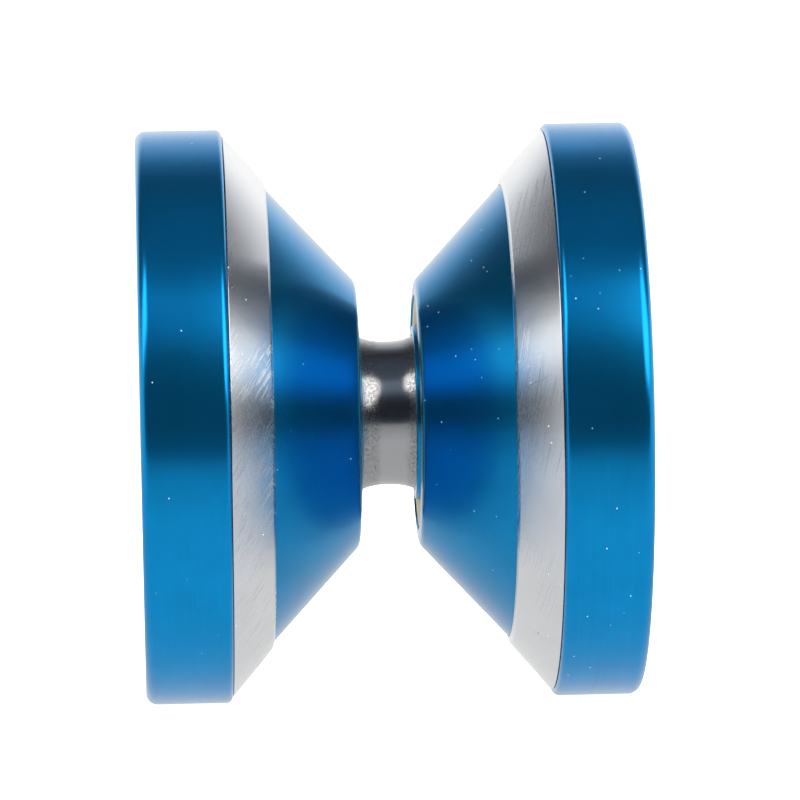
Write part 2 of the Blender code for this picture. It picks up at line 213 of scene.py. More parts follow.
class YoyoStage(bpy.types.PropertyGroup):
    """Camera and studio."""

    camera_place: FloatVectorProperty(
        name="Camera place", description="Where the camera stands", size=3,
        default=(-0.0194, -0.4994, 0.0), subtype="XYZ", unit="LENGTH")
    camera_yaw: FloatProperty(name="Yaw", description="Turn of the camera to its right",
                              default=math.radians(2.355), subtype="ANGLE")
    camera_pitch: FloatProperty(name="Pitch", description="Tilt of the camera upward",
                                default=math.radians(0.12), subtype="ANGLE")
    camera_roll: FloatProperty(name="Roll", description="Turn of the camera about its view",
                               default=math.radians(-1.21), subtype="ANGLE")
    lens: FloatProperty(name="Lens", description="Focal length in millimetres",
                        default=271.3, min=20.0, subtype="DISTANCE_CAMERA")
    table_light: FloatProperty(name="Table light", description="Brightness of the white table "
                               "as the metal reflects it", default=0.71, min=0.0)
    softbox_light: FloatProperty(name="Softbox light", description="Brightness of the two "
                                 "softboxes", default=2.5, min=0.0)


# --- Turned and lofted meshes -----------------------------------------------------------


def fillet(before, corner, after, radius, steps):
    """A corner of a profile as an arc, tangent to both sides and no longer than they allow."""
    to_before = Vector(before) - corner
    to_after = Vector(after) - corner
    room = 0.49 * min(to_before.length, to_after.length)
    to_before.normalize()
    to_after.normalize()
    half_angle = to_before.angle(to_after) / 2
    if half_angle > math.radians(89.0):
        return [corner]
    radius = min(radius, room * math.tan(half_angle))
    middle = corner + (to_before + to_after).normalized() * radius / math.sin(half_angle)
    start = corner + to_before * radius / math.tan(half_angle) - middle
    end = corner + to_after * radius / math.tan(half_angle) - middle
    turn = start.angle_signed(end)
    points = []
    for i in range(steps + 1):
        spoke = start.copy()
        spoke.rotate(Matrix.Rotation(-turn * i / steps, 2))
        points.append(middle + spoke)
    return points


def softened(corners, broken_edge, closed):
    """A profile with each corner rounded by its own fillet, or by the broken edge."""
    points = []
    count = len(corners)
    for i, corner in enumerate(corners):
        place = Vector(corner[:2])
        if not closed and i in (0, count - 1):
            points.append(place)
            continue
        radius = corner[2] if len(corner) > 2 else broken_edge
        if radius <= 0.0:
            points.append(place)
            continue
        steps = 8 if radius > 0.25 * MM else 3
        points += fillet(corners[i - 1][:2], place, corners[(i + 1) % count][:2], radius, steps)
    return points


def finish_mesh(shape, name, sharp_angle=35.0):
    """Close up a bmesh as a smooth-shaded mesh with its faces pointing out."""
    bmesh.ops.remove_doubles(shape, verts=shape.verts, dist=1e-7)
    bmesh.ops.recalc_face_normals(shape, faces=shape.faces)
    mesh = bpy.data.meshes.new(name)
    shape.to_mesh(mesh)
    shape.free()
    mesh.shade_smooth()
    mesh.set_sharp_from_angle(angle=math.radians(sharp_angle))
    return mesh


def turned(name, profile, segments, opening=0.0):
    """A mesh turned about the axle; an opening leaves a gap round the top, with flat ends."""
    shape = bmesh.new()
    points = [shape.verts.new((p[0], 0.0, p[1])) for p in profile]
    if opening:
        face = shape.faces.new(points)
        bmesh.ops.rotate(shape, verts=shape.verts, cent=(0, 0, 0),
                         matrix=Matrix.Rotation(opening / 2, 3, "X"))
        bmesh.ops.spin(shape, geom=[face], cent=(0, 0, 0), axis=(1, 0, 0),
                       angle=2 * math.pi - opening, steps=segments)
        return finish_mesh(shape, name)
    edges = [shape.edges.new(pair) for pair in zip(points, points[1:])]
    if profile[0][1] > 0.0:
        edges.append(shape.edges.new((points[-1], points[0])))
    bmesh.ops.spin(shape, geom=points + edges, cent=(0, 0, 0), axis=(1, 0, 0),
                   angle=2 * math.pi, steps=segments, use_merge=True)
    return finish_mesh(shape, name)


def lofted(name, rings):
    """A closed mesh through rings of equal count, between two end points."""
    shape = bmesh.new()
    first, *loops, last = rings
    start = shape.verts.new(first)
    end = shape.verts.new(last)
    loops = [[shape.verts.new(point) for point in loop] for loop in loops]
    count = len(loops[0])
    for i in range(count):
        j = (i + 1) % count
        shape.faces.new((start, loops[0][i], loops[0][j]))
        shape.faces.new((end, loops[-1][j], loops[-1][i]))
        for here, there in zip(loops, loops[1:]):
            shape.faces.new((here[i], there[i], there[j], here[j]))
    return finish_mesh(shape, name, sharp_angle=40.0)


def mirrored(side):
    """A profile drawn for x >= 0, closed by its mirror image."""
    return side + [(-p[0], *p[1:]) for p in reversed(side) if p[0] > 0.0]


def piece(name, mesh, finish, body, matrix, slot, *nodes):
    """Link a mesh as a piece that rides on a body and stands for CAD nodes."""
    mesh.materials.append(finish)
    made = bpy.data.objects.new(name, mesh)
    bpy.context.scene.collection.objects.link(made)
    made.matrix_world = matrix
    bpy.context.view_layer.update()
    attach(made, body)
    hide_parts(*nodes)
    return made


# --- Profiles ---------------------------------------------------------------------------


def gap_face_x(radius):
    """Distance of the raked gap face from the middle plane."""
    return LIP_X + (radius - POCKET_RADIUS) * math.tan(GAP_RAKE)


def half_profile(sizes):
    """A half, from the end of its threaded hole round the outside to the dimple in its hub."""
    edge = sizes.broken_edge
    return [
        (THREAD_HOLE_END_X, 0.0),
        (THREAD_HOLE_END_X, THREAD_HOLE_RADIUS, 0.0),
        (POST_END_X, THREAD_HOLE_RADIUS, 2 * edge),
        (POST_END_X, POST_RADIUS, 3 * edge),
        (BEARING_SEAT_X, POST_RADIUS, edge),
        (BEARING_SEAT_X, SHOULDER_RADIUS, edge),
        (POCKET_FLOOR_X, SHOULDER_RADIUS, edge),
        (POCKET_FLOOR_X, POCKET_RADIUS, 2 * edge),
        (LIP_X, POCKET_RADIUS, 1.5 * edge),
        (gap_face_x(PAD_GROOVE_INNER), PAD_GROOVE_INNER, 1.5 * edge),
        (PAD_FLOOR_X, PAD_GROOVE_INNER, edge),
        (PAD_FLOOR_X, PAD_GROOVE_OUTER, edge),
        (gap_face_x(PAD_GROOVE_OUTER), PAD_GROOVE_OUTER, edge),
        (gap_face_x(GAP_FACE_RADIUS), GAP_FACE_RADIUS, sizes.gap_corner_fillet),
        (RING_FRONT_X, SEAT_RADIUS, edge),
        (RIM_FRONT_X, SEAT_RADIUS, edge),
        (RIM_FRONT_X, RIM_RADIUS, sizes.rim_inner_fillet),
        (RIM_OUTER_X, RIM_RADIUS, sizes.rim_outer_fillet),
        (RIM_OUTER_X, CUP_RADIUS, 5 * edge),
        (WEB_X, CUP_RADIUS, sizes.cup_fillet),
        (WEB_X, RING_SEAT_INNER, 3 * edge),
        (CUP_WALL_X, RING_SEAT_INNER, sizes.cup_fillet),
        (CUP_FLOOR_X, CUP_FLOOR_RADIUS, 1.5 * sizes.cup_fillet),
        (CUP_FLOOR_X, HUB_RADIUS, sizes.cup_fillet),
        (HUB_END_X, HUB_RADIUS, 6 * edge),
        (HUB_END_X, HUB_DIMPLE_RADIUS, 2 * edge),
        (HUB_END_X - HUB_DIMPLE_DEPTH, HUB_DIMPLE_RADIUS, 2 * edge),
        (HUB_END_X - HUB_DIMPLE_DEPTH, 0.0),
    ]


def ring_profile(sizes):
    """A weight ring: bevelled front edge, cone, and a narrow land against the rim."""
    edge = sizes.broken_edge
    bore = SEAT_RADIUS + RING_FIT
    return [
        (RING_FRONT_X, bore, 0.5 * edge),
        (RING_FRONT_X + sizes.ring_bevel_depth, bore + sizes.ring_bevel_height, edge),
        (RING_BACK_X - sizes.ring_land, RING_BACK_RADIUS, edge),
        (RING_BACK_X, RING_BACK_RADIUS, 0.7 * edge),
        (RING_BACK_X, bore, edge),
    ]


def pad_profile(sizes):
    """A response pad: a soft ring lying in its groove."""
    inner = PAD_GROOVE_INNER + PAD_FIT
    middle = (inner + PAD_RADIUS) / 2
    return [
        (PAD_BACK_X, inner, sizes.pad_edge),
        (PAD_FRONT_X + PAD_CROWN, inner, sizes.pad_edge),
        (PAD_FRONT_X, middle, 8 * sizes.pad_edge),
        (PAD_FRONT_X + PAD_CROWN, PAD_RADIUS, sizes.pad_edge),
        (PAD_BACK_X, PAD_RADIUS, sizes.pad_edge),
    ]


def ball_groove(shoulder):
    """Half a ball groove, from its shoulder to its floor: points (x, height over the pitch)."""
    start = math.asin(shoulder / BALL_GROOVE_RADIUS)
    points = []
    for i in range(BALL_GROOVE_STEPS):
        a = start + (math.pi / 2 - start) * i / BALL_GROOVE_STEPS
        points.append((BALL_GROOVE_RADIUS * math.cos(a), BALL_GROOVE_RADIUS * math.sin(a)))
    return points + [(0.0, BALL_GROOVE_RADIUS)]


def outer_race_profile(sizes):
    """The outer race: dished outside, ball groove, shield steps and clip grooves inside."""
    chamfer = 0.08 * MM
    land = 0.04 * MM
    shield_seat = SHIELD_RADIUS + RACE_FIT
    clip_seat = CLIP_RADIUS + RACE_FIT
    span = RACE_SIDE_X - chamfer - land
    side = []
    for i in range(DISH_STEPS + 1):
        along = i / DISH_STEPS
        drop = sizes.dish_depth * (1.0 - along ** sizes.dish_flatness)
        side.append((span * along, RACE_RADIUS - drop, 0.0))
    side += [
        (RACE_SIDE_X, RACE_RADIUS, chamfer),
        (RACE_SIDE_X, shield_seat, 0.05 * MM),
        (CLIP_BACK_X + RACE_FIT, shield_seat, 0.0),
        (CLIP_BACK_X + RACE_FIT, clip_seat, 0.0),
        (CLIP_FRONT_X - RACE_FIT / 2, clip_seat, 0.0),
        (CLIP_FRONT_X - RACE_FIT / 2, shield_seat, 0.0),
        (SHIELD_FRONT_X - RACE_FIT, shield_seat, 0.0),
        (SHIELD_FRONT_X - RACE_FIT, OUTER_SHOULDER, 0.0),
    ]
    groove = ball_groove(OUTER_SHOULDER - BALL_PITCH_RADIUS)
    side += [(x, BALL_PITCH_RADIUS + height, 0.0) for x, height in groove]
    return mirrored(side)


def inner_race_profile():
    """The inner race: plain bore and a ball groove outside."""
    edge = 0.12 * MM
    groove = ball_groove(BALL_PITCH_RADIUS - INNER_SHOULDER)
    side = [(x, BALL_PITCH_RADIUS - height, 0.0) for x, height in reversed(groove)]
    side += [(INNER_RACE_SIDE_X, INNER_SHOULDER, edge), (INNER_RACE_SIDE_X, BORE_RADIUS, edge)]
    return mirrored(side)


def shield_profile():
    """A bearing shield: a thin pressed plate with a rolled inner edge."""
    inner = INNER_SHOULDER + 0.12 * MM
    step = 0.03 * MM
    rolled = 0.1 * MM
    return [
        (SHIELD_FRONT_X, inner, 0.05 * MM),
        (SHIELD_FRONT_X, SHIELD_RADIUS, 0.04 * MM),
        (SHIELD_BACK_X, SHIELD_RADIUS, 0.04 * MM),
        (SHIELD_BACK_X, inner + 0.9 * MM, rolled),
        (SHIELD_BACK_X - step, inner + 0.8 * MM, rolled),
        (SHIELD_BACK_X - step, inner + 0.25 * MM, rolled),
        (SHIELD_BACK_X, inner + 0.15 * MM, rolled),
        (SHIELD_BACK_X, inner, 0.05 * MM),
    ]


def clip_profile():
    """The rounded section of a snap ring."""
    inner = CLIP_RADIUS - CLIP_DEPTH
    edge = 0.08 * MM
    return [(CLIP_FRONT_X, inner, edge), (CLIP_FRONT_X, CLIP_RADIUS, edge),
            (CLIP_BACK_X, CLIP_RADIUS, edge), (CLIP_BACK_X, inner, edge)]


def axle_rings(sizes):
    """Rings of a set screw: hexagon sockets in chamfered ends, and a thread between them."""
    root = AXLE_RADIUS - 0.6134 * sizes.thread_pitch
    crest = AXLE_RADIUS - 0.01 * MM
    chamfer = 0.4 * MM
    apothem = sizes.socket_flats / 2
    angles = [2 * math.pi * i / THREAD_FACETS for i in range(THREAD_FACETS)]

    def ring(x, radius_at):
        return [(x, radius_at(a) * math.sin(a), radius_at(a) * math.cos(a)) for a in angles]

    def hexagon(a):
        return apothem / math.cos((a + math.pi / 6) % (math.pi / 3) - math.pi / 6)

    def thread(x):
        room = AXLE_RADIUS - chamfer + (AXLE_END_X - abs(x))

        def radius_at(a):
            phase = (x / sizes.thread_pitch - a / (2 * math.pi)) % 1.0
            rise = min(1.0, max(0.0, (abs(phase - 0.5) - 0.125 / 2) / 0.375))
            return min(root + (crest - root) * (1.0 - rise), room)

        return radius_at

    floor_x = AXLE_END_X - sizes.socket_depth
    rings = [(-floor_x + 0.4 * MM, 0.0, 0.0), ring(-floor_x, hexagon),
             ring(-AXLE_END_X, hexagon)]
    steps = round(2 * AXLE_END_X / sizes.thread_pitch * THREAD_STEPS_PER_TURN)
    for i in range(steps + 1):
        x = -AXLE_END_X + 2 * AXLE_END_X * i / steps
        rings.append(ring(x, thread(x)))
    rings += [ring(AXLE_END_X, hexagon), ring(floor_x, hexagon), (floor_x - 0.4 * MM, 0.0, 0.0)]
    return rings


# --- Finishes ---------------------------------------------------------------------------


class Nodes:
    """A shader tree, and short ways to add nodes to it."""

    def __init__(self, tree):
        self.tree = tree

    def fill(self, socket, value):
        """Give a socket a value, or link another node's output to it."""
        if isinstance(value, bpy.types.NodeSocket):
            self.tree.links.new(value, socket)
        else:
            socket.default_value = value

    def node(self, kind, inputs=(), **settings):
        """Add a node with its settings; inputs pairs a socket with what fills it."""
        made = self.tree.nodes.new(kind)
        for key, value in settings.items():
            setattr(made, key, value)
        for socket, value in dict(inputs).items():
            self.fill(made.inputs[socket], value)
        return made

    def math(self, operation, *values):
        """A Math node over one to three values."""
        return self.node("ShaderNodeMath", dict(enumerate(values)),
                         operation=operation).outputs[0]

    def spread(self, value, low, high, to_low=0.0, to_high=1.0, smooth=False):
        """A value mapped from one range to another, and clamped there."""
        return self.node("ShaderNodeMapRange", {
            "Value": value, "From Min": low, "From Max": high,
            "To Min": to_low, "To Max": to_high,
        }, interpolation_type="SMOOTHSTEP" if smooth else "LINEAR").outputs["Result"]

    def blend(self, factor, a, b):
        """A colour mixed from two others."""
        made = self.node("ShaderNodeMix", data_type="RGBA")
        inputs = {socket.identifier: socket for socket in made.inputs}
        self.fill(inputs["Factor_Float"], factor)
        for name, value in (("A_Color", a), ("B_Color", b)):
            plain = not isinstance(value, bpy.types.NodeSocket)
            self.fill(inputs[name], (*value, 1.0) if plain else value)
        return next(s for s in made.outputs if s.identifier == "Result_Color")


class Finish(Nodes):
    """A material whose Principled shader is fed by a few procedural patterns."""

    def __init__(self, name, colour, roughness, metallic=1.0):
        self.material = bpy.data.materials.new(name)
        self.material.use_nodes = True
        super().__init__(self.material.node_tree)
        self.shader = self.tree.nodes["Principled BSDF"]
        self.shader.inputs["Base Color"].default_value = (*colour, 1.0)
        self.shader.inputs["Roughness"].default_value = roughness
        self.shader.inputs["Metallic"].default_value = metallic
        self.material.diffuse_color = (*colour, 1.0)
        self.place = self.node("ShaderNodeTexCoord").outputs["Object"]

    def polar(self):
        """(x, radius, arc length round the axle) of a point on the piece."""
        parts = self.node("ShaderNodeSeparateXYZ", {0: self.place}).outputs
        flat = self.node("ShaderNodeCombineXYZ", {1: parts[1], 2: parts[2]}).outputs[0]
        radius = self.node("ShaderNodeVectorMath", {0: flat},
                           operation="LENGTH").outputs["Value"]
        angle = self.math("ARCTAN2", parts[1], parts[2])
        return parts[0], radius, self.math("MULTIPLY", angle, radius)

    def vector(self, x, y, z):
        """Three values as one vector."""
        return self.node("ShaderNodeCombineXYZ", {0: x, 1: y, 2: z}).outputs[0]

    def noise(self, vector, scale, detail=2.0, roughness=0.5):
        """Noise between 0 and 1."""
        return self.node("ShaderNodeTexNoise", {
            "Vector": vector, "Scale": scale, "Detail": detail, "Roughness": roughness,
        }).outputs["Fac"]

    def turning_marks(self, pitch, waver=0.02):
        """Fine grooves round the axle, such as a lathe tool leaves, that waver a little."""
        x, radius, _ = self.polar()
        slow = self.node("ShaderNodeVectorMath", {0: self.place, 3: waver},
                         operation="SCALE").outputs[0]
        along = self.node("ShaderNodeSeparateXYZ", {0: slow}).outputs
        return self.noise(self.vector(x, radius, self.math("ADD", along[1], along[2])),
                          1.0 / pitch, detail=3.0, roughness=0.6)

    def bump(self, height, strength, distance):
        """Add a height to the shader's normal, over any bump already there."""
        made = self.node("ShaderNodeBump", {"Height": height, "Strength": strength,
                                            "Distance": distance})
        normal = self.shader.inputs["Normal"]
        if normal.is_linked:
            self.tree.links.new(normal.links[0].from_socket, made.inputs["Normal"])
        self.tree.links.new(made.outputs[0], normal)

    def turned_grain(self, strength):
        """Spread reflections along the axle, as grooves turned round it do."""
        ring = self.node("ShaderNodeTangent", direction_type="RADIAL", axis="X").outputs[0]
        self.tree.links.new(ring, self.shader.inputs["Tangent"])
        self.shader.inputs["Anisotropic"].default_value = strength
        self.shader.inputs["Anisotropic Rotation"].default_value = 0.25

    def clear_film(self, index, roughness):
        """Seal the surface with a thin clear film that shines white at a glancing angle."""
        self.shader.inputs["Coat Weight"].default_value = 1.0
        self.shader.inputs["Coat IOR"].default_value = index
        self.shader.inputs["Coat Roughness"].default_value = roughness

    def feed(self, socket, value):
        """Link a value or colour into the shader."""
        self.tree.links.new(value, self.shader.inputs[socket])

    def specks(self, scale, keep, size, seed):
        """Scattered round specks: 1 on a speck and 0 between them."""
        shift = (seed, seed / 3, seed / 7)
        moved = self.node("ShaderNodeVectorMath", {0: self.place, 1: shift},
                          operation="ADD").outputs[0]
        cells = self.node("ShaderNodeTexVoronoi", {"Vector": moved, "Scale": scale},
                          feature="F1").outputs
        draw = self.node("ShaderNodeSeparateColor", {0: cells["Color"]}).outputs[0]
        chosen = self.math("GREATER_THAN", draw, 1.0 - keep)
        near = self.spread(cells["Distance"], size, 0.6 * size)
        return self.math("MULTIPLY", chosen, near)


DUST_ON_BLUE = (0.60, 0.66, 0.70)
DUST_ON_METAL = (0.85, 0.85, 0.84)
NICK = (0.10, 0.09, 0.09)
PIT = (0.05, 0.05, 0.045)
STRING_DIRT = (0.33, 0.28, 0.18)


def shade(colour, factor):
    """A colour made darker or lighter."""
    return tuple(min(1.0, c * factor) for c in colour)


def anodised_finish(name, finishes, dust, seed):
    """Blue anodised aluminium over fine turning marks, with dust, faint mottling and painted
    shade on the cones.
    """
    made = Finish(name, finishes.anodised, finishes.anodised_roughness)
    made.turned_grain(0.5)
    made.clear_film(1.09, 0.25)
    marks = made.turning_marks(0.13 * MM)
    outside = made.spread(made.polar()[1], SEAT_RADIUS, RING_BACK_RADIUS)
    mottle = made.noise(made.place, 260.0, detail=4.0)
    uneven = made.math("MULTIPLY_ADD", made.spread(mottle, 0.3, 0.7), 0.11,
                       made.spread(marks, 0.35, 0.75, 0.94, 0.88))
    # Cones get the darker blue towards the axle: painted shade inside the string gap.
    colour = made.blend(outside, finishes.cone_blue_painted_shade, finishes.anodised)
    colour = made.node("ShaderNodeVectorMath", {0: colour, 3: uneven},
                       operation="SCALE").outputs[0]
    specks = made.specks(820.0, dust, 0.05, seed)
    colour = made.blend(specks, colour, DUST_ON_BLUE)
    made.feed("Base Color", colour)
    made.feed("Metallic", made.math("SUBTRACT", 0.96, specks))
    satin = made.spread(outside, 0.0, 1.0, finishes.cone_roughness,
                        finishes.anodised_roughness)
    rough = made.math("ADD", satin, made.spread(marks, 0.25, 0.8, -0.02, 0.03))
    made.feed("Roughness", made.math("MAXIMUM", rough, made.math("MULTIPLY", specks, 0.8)))
    made.bump(marks, 0.05, 0.004 * MM)
    made.bump(specks, 0.5, 0.02 * MM)
    return made.material


def ring_finish(finishes):
    """Bare polished metal: patches of oblique polishing scratches, dark nicks and dust."""
    made = Finish("polished_ring_metal", finishes.ring_metal, finishes.ring_roughness)
    made.turned_grain(0.95)
    x, _, arc = made.polar()
    cloud = made.noise(made.place, 180.0, detail=5.0, roughness=0.6)
    families = []
    for slope, pitch, rare in ((3.6, 0.45 * MM, 0.52), (-1.4, 0.30 * MM, 0.62)):
        across = made.math("SUBTRACT", made.math("MULTIPLY", x, slope), arc)
        along = made.math("ADD", made.math("MULTIPLY", arc, slope), x)
        lines = made.noise(made.vector(across, made.math("MULTIPLY", along, 0.03), 0.0),
                           1.0 / pitch, detail=2.0)
        families.append(made.spread(lines, rare, rare + 0.12))
    patches = made.spread(made.noise(made.place, 130.0, detail=1.0), 0.45, 0.60)
    patchy = made.math("MULTIPLY", made.math("MAXIMUM", *families), patches)
    colour = made.blend(made.spread(cloud, 0.3, 0.72), shade(finishes.ring_metal, 0.93),
                        shade(finishes.ring_metal, 1.04))
    colour = made.blend(made.math("MULTIPLY", patchy, 0.14), colour,
                        shade(finishes.ring_metal, 0.75))
    nicks = made.specks(520.0, 0.08, 0.05, 3.1)
    colour = made.blend(nicks, colour, NICK)
    dust = made.specks(900.0, 0.5, 0.06, 8.3)
    colour = made.blend(dust, colour, DUST_ON_METAL)
    made.feed("Base Color", colour)
    made.feed("Metallic", made.math("SUBTRACT", 1.0, dust))
    rough = made.spread(cloud, 0.25, 0.75, finishes.ring_roughness - 0.03,
                        finishes.ring_roughness + 0.03)
    rough = made.math("ADD", rough, made.math("MULTIPLY", patchy, 0.16))
    made.feed("Roughness", made.math("MAXIMUM", rough, made.math("MULTIPLY", nicks, 0.7)))
    made.bump(patchy, 0.28, 0.006 * MM)
    made.bump(made.turning_marks(0.12 * MM), 0.08, 0.004 * MM)
    return made.material


def race_finish(finishes):
    """Ground bearing steel, bright in the middle, worn and pitted towards its edges."""
    made = Finish("ground_bearing_steel", finishes.race_metal, finishes.race_roughness)
    made.turned_grain(0.25)
    x, _, _ = made.polar()
    uneven = made.noise(made.place, 420.0, detail=4.0, roughness=0.6)
    across = made.math("MULTIPLY_ADD", made.math("SUBTRACT", uneven, 0.5), 0.8 * MM, x)
    edge = made.math("MAXIMUM", made.spread(across, -0.65 * MM, -1.05 * MM, 0.0, 0.8),
                     made.spread(across, 1.25 * MM, 1.9 * MM))
    marks = made.turning_marks(0.06 * MM)
    grain = made.noise(made.place, 5200.0, detail=3.0, roughness=0.7)
    worn = made.math("MULTIPLY", made.spread(grain, 0.36, 0.62), edge)
    pits = made.math("MULTIPLY", made.specks(3600.0, 0.36, 0.24, 7.7),
                     made.spread(edge, 0.3, 0.7))
    colour = made.blend(made.math("MULTIPLY", worn, 0.75), finishes.race_metal,
                        shade(finishes.race_metal, 0.48))
    colour = made.blend(made.math("MULTIPLY", pits, 0.85), colour, PIT)
    made.feed("Base Color", colour)
    rough = made.math("ADD", made.spread(marks, 0.3, 0.7, finishes.race_roughness - 0.03,
                                         finishes.race_roughness + 0.04),
                      made.math("MULTIPLY", worn, 0.18))
    made.feed("Roughness", rough)
    made.bump(marks, 0.16, 0.003 * MM)
    made.bump(worn, 0.25, 0.006 * MM)
    made.bump(pits, -0.4, 0.01 * MM)
    return made.material


def silicone_finish(finishes):
    """Cast silicone: matte, slightly clouded, with fine string dirt."""
    made = Finish("cream_silicone", finishes.silicone, 0.55, metallic=0.0)
    made.shader.inputs["Subsurface Weight"].default_value = 0.15
    made.shader.inputs["Subsurface Radius"].default_value = (0.6, 0.45, 0.25)
    made.shader.inputs["Subsurface Scale"].default_value = 0.4 * MM
    cloud = made.noise(made.place, 900.0, detail=4.0)
    colour = made.blend(made.spread(cloud, 0.35, 0.7), shade(finishes.silicone, 0.90),
                        shade(finishes.silicone, 1.05))
    dirt = made.spread(made.turning_marks(0.14 * MM), 0.55, 0.75, 0.0, 0.35)
    made.feed("Base Color", made.blend(dirt, colour, STRING_DIRT))
    made.feed("Roughness", made.spread(cloud, 0.3, 0.7, 0.5, 0.66))
    made.bump(made.noise(made.place, 9000.0, detail=3.0), 0.25, 0.01 * MM)
    return made.material


def plain_metal_finish(name, colour, roughness, pitch, grain_scale):
    """A small metal part: fine tool marks, and a cloudy surface film."""
    made = Finish(name, colour, roughness)
    marks = made.turning_marks(pitch)
    cloud = made.noise(made.place, grain_scale, detail=4.0, roughness=0.6)
    made.feed("Base Color", made.blend(made.spread(cloud, 0.3, 0.7), shade(colour, 0.82),
                                       shade(colour, 1.1)))
    made.feed("Roughness", made.spread(cloud, 0.3, 0.7, roughness - 0.05, roughness + 0.08))
    made.bump(marks, 0.12, 0.004 * MM)
    return made.material


# --- Light ------------------------------------------------------------------------------
#
# The metal reflects a room that changes with the angle round the axle: 0 degrees is level in
# front of the yo-yo, 90 overhead and -90 the table. Each stop is (degrees, level, coolness).

ROOM = (
    (-180, 1.25, 0.00), (-168, 1.03, 0.00), (-125, 1.00, 0.03), (-48, 0.98, 0.05),
    (-37, 0.88, 0.05), (-26, 0.71, 0.07), (-20, 0.58, 0.08), (-16, 0.12, 0.35),
    (-8, 0.04, 0.45), (14, 0.03, 0.45), (25, 0.07, 0.45), (37, 0.30, 0.42),
    (48, 0.37, 0.40), (58, 0.16, 0.40), (70, 0.13, 0.45), (86, 0.11, 0.42),
    (109, 0.05, 0.35), (121, 0.22, 0.25), (133, 0.74, 0.10), (145, 1.02, 0.08),
    (152, 1.22, 0.03), (160, 1.36, 0.00), (172, 1.36, 0.00), (180, 1.30, 0.00))
RIGHT_WALL = (
    (100, 0.08, 0.15), (109, 0.06, 0.15), (121, 0.15, 0.12), (128, 0.24, 0.10),
    (136, 0.42, 0.10), (140, 0.72, 0.08), (145, 1.08, 0.06), (149, 1.32, 0.04),
    (154, 1.50, 0.02), (159, 1.60, 0.00), (166, 1.48, 0.00), (180, 1.34, 0.00))
LEFT_WALL = (
    (100, 0.08, 0.15), (109, 0.05, 0.15), (126, 0.07, 0.12), (132, 0.12, 0.10),
    (138, 0.32, 0.10), (143, 0.68, 0.08), (149, 1.05, 0.06), (154, 1.28, 0.03),
    (160, 1.42, 0.00), (180, 1.34, 0.00))
WALLS = ((1.0, RIGHT_WALL), (-1.0, LEFT_WALL))

# The room as one half of the yo-yo shows it to the other.
ROOM_BETWEEN_HALVES = (
    (-180, 1.25, 0.00), (-168, 1.05, 0.00), (-125, 1.05, 0.04), (-50, 1.08, 0.06),
    (-36, 0.98, 0.08), (-18, 0.50, 0.10), (-7, 0.08, 0.10), (7, 0.08, 0.10),
    (16, 0.42, 0.10), (25, 1.20, 0.10), (36, 1.90, 0.04), (50, 1.70, 0.02),
    (60, 1.05, 0.04), (66, 0.68, 0.08), (75, 0.46, 0.10), (85, 0.30, 0.12),
    (98, 0.12, 0.12), (120, 0.10, 0.12), (138, 0.42, 0.10), (147, 0.98, 0.06),
    (160, 1.36, 0.00), (180, 1.30, 0.00))

# Each softbox: side, where it starts and is full sideways, its lower edge and how far that
# drops towards the side, its upper edge and how far that rises (degrees).
SOFTBOXES = (
    (1.0, 0.10, 0.36, 42.0, 29.0, 50.0, 13.0),
    (-1.0, 0.22, 0.46, 42.0, 6.0, 52.0, 16.0))
SOFTBOX_BLUR = 5.0
END_LIGHT = (0.80, 0.80, 0.82)
PLAIN_LIGHT = 1.5
OVERHEAD_SIZE = 1.2
OVERHEAD_POWER = 8.0
OVERHEAD_PLACE = (0.0, 0.1, 1.0)


# --- Operators --------------------------------------------------------------------------


class YOYO_OT_halves(bpy.types.Operator):
    """Turn both halves: rim, cone, gap face, bearing post, cup and hub"""

    bl_idname = "yoyo.halves"
    bl_label = "Turn the halves"

    def execute(self, context):
        sizes, finishes = context.scene.yoyo_sizes, context.scene.yoyo_finishes
        profile = softened(half_profile(sizes), sizes.broken_edge, closed=False)
        for side, dust, seed in (("left", 0.2, 1.3), ("right", 0.9, 5.9)):
            finish = anodised_finish("blue_anodised_" + side, finishes,
                                     2 * finishes.dust * dust, seed)
            piece(side + "_half_turned", turned(side + "_half_turned", profile, sizes.segments),
                  finish, SIDE_BODY[side], SIDES[side], "anodised_body", side + "_half")
        return {"FINISHED"}


class YOYO_OT_weight_rings(bpy.types.Operator):
    """Turn the bevelled weight rings"""

    bl_idname = "yoyo.weight_rings"
    bl_label = "Turn the weight rings"

    def execute(self, context):
        sizes, finishes = context.scene.yoyo_sizes, context.scene.yoyo_finishes
        profile = softened(ring_profile(sizes), sizes.broken_edge, closed=True)
        finish = ring_finish(finishes)
        for side in SIDES:
            name = side + "_weight_ring_turned"
            piece(name, turned(name, profile, sizes.segments), finish, SIDE_BODY[side],
                  SIDES[side], "weight_ring", side + "_weight_ring")
        return {"FINISHED"}


class YOYO_OT_response_pads(bpy.types.Operator):
    """Cast the silicone response pads into their grooves"""

    bl_idname = "yoyo.response_pads"
    bl_label = "Cast the response pads"

    def execute(self, context):
        sizes, finishes = context.scene.yoyo_sizes, context.scene.yoyo_finishes
        profile = softened(pad_profile(sizes), sizes.pad_edge, closed=True)
        finish = silicone_finish(finishes)
        for side in SIDES:
            name = side + "_response_pad_cast"
            piece(name, turned(name, profile, sizes.segments), finish, PAD_BODY[side],
                  SIDES[side], "response_pad", side + "_response_pad")
        return {"FINISHED"}


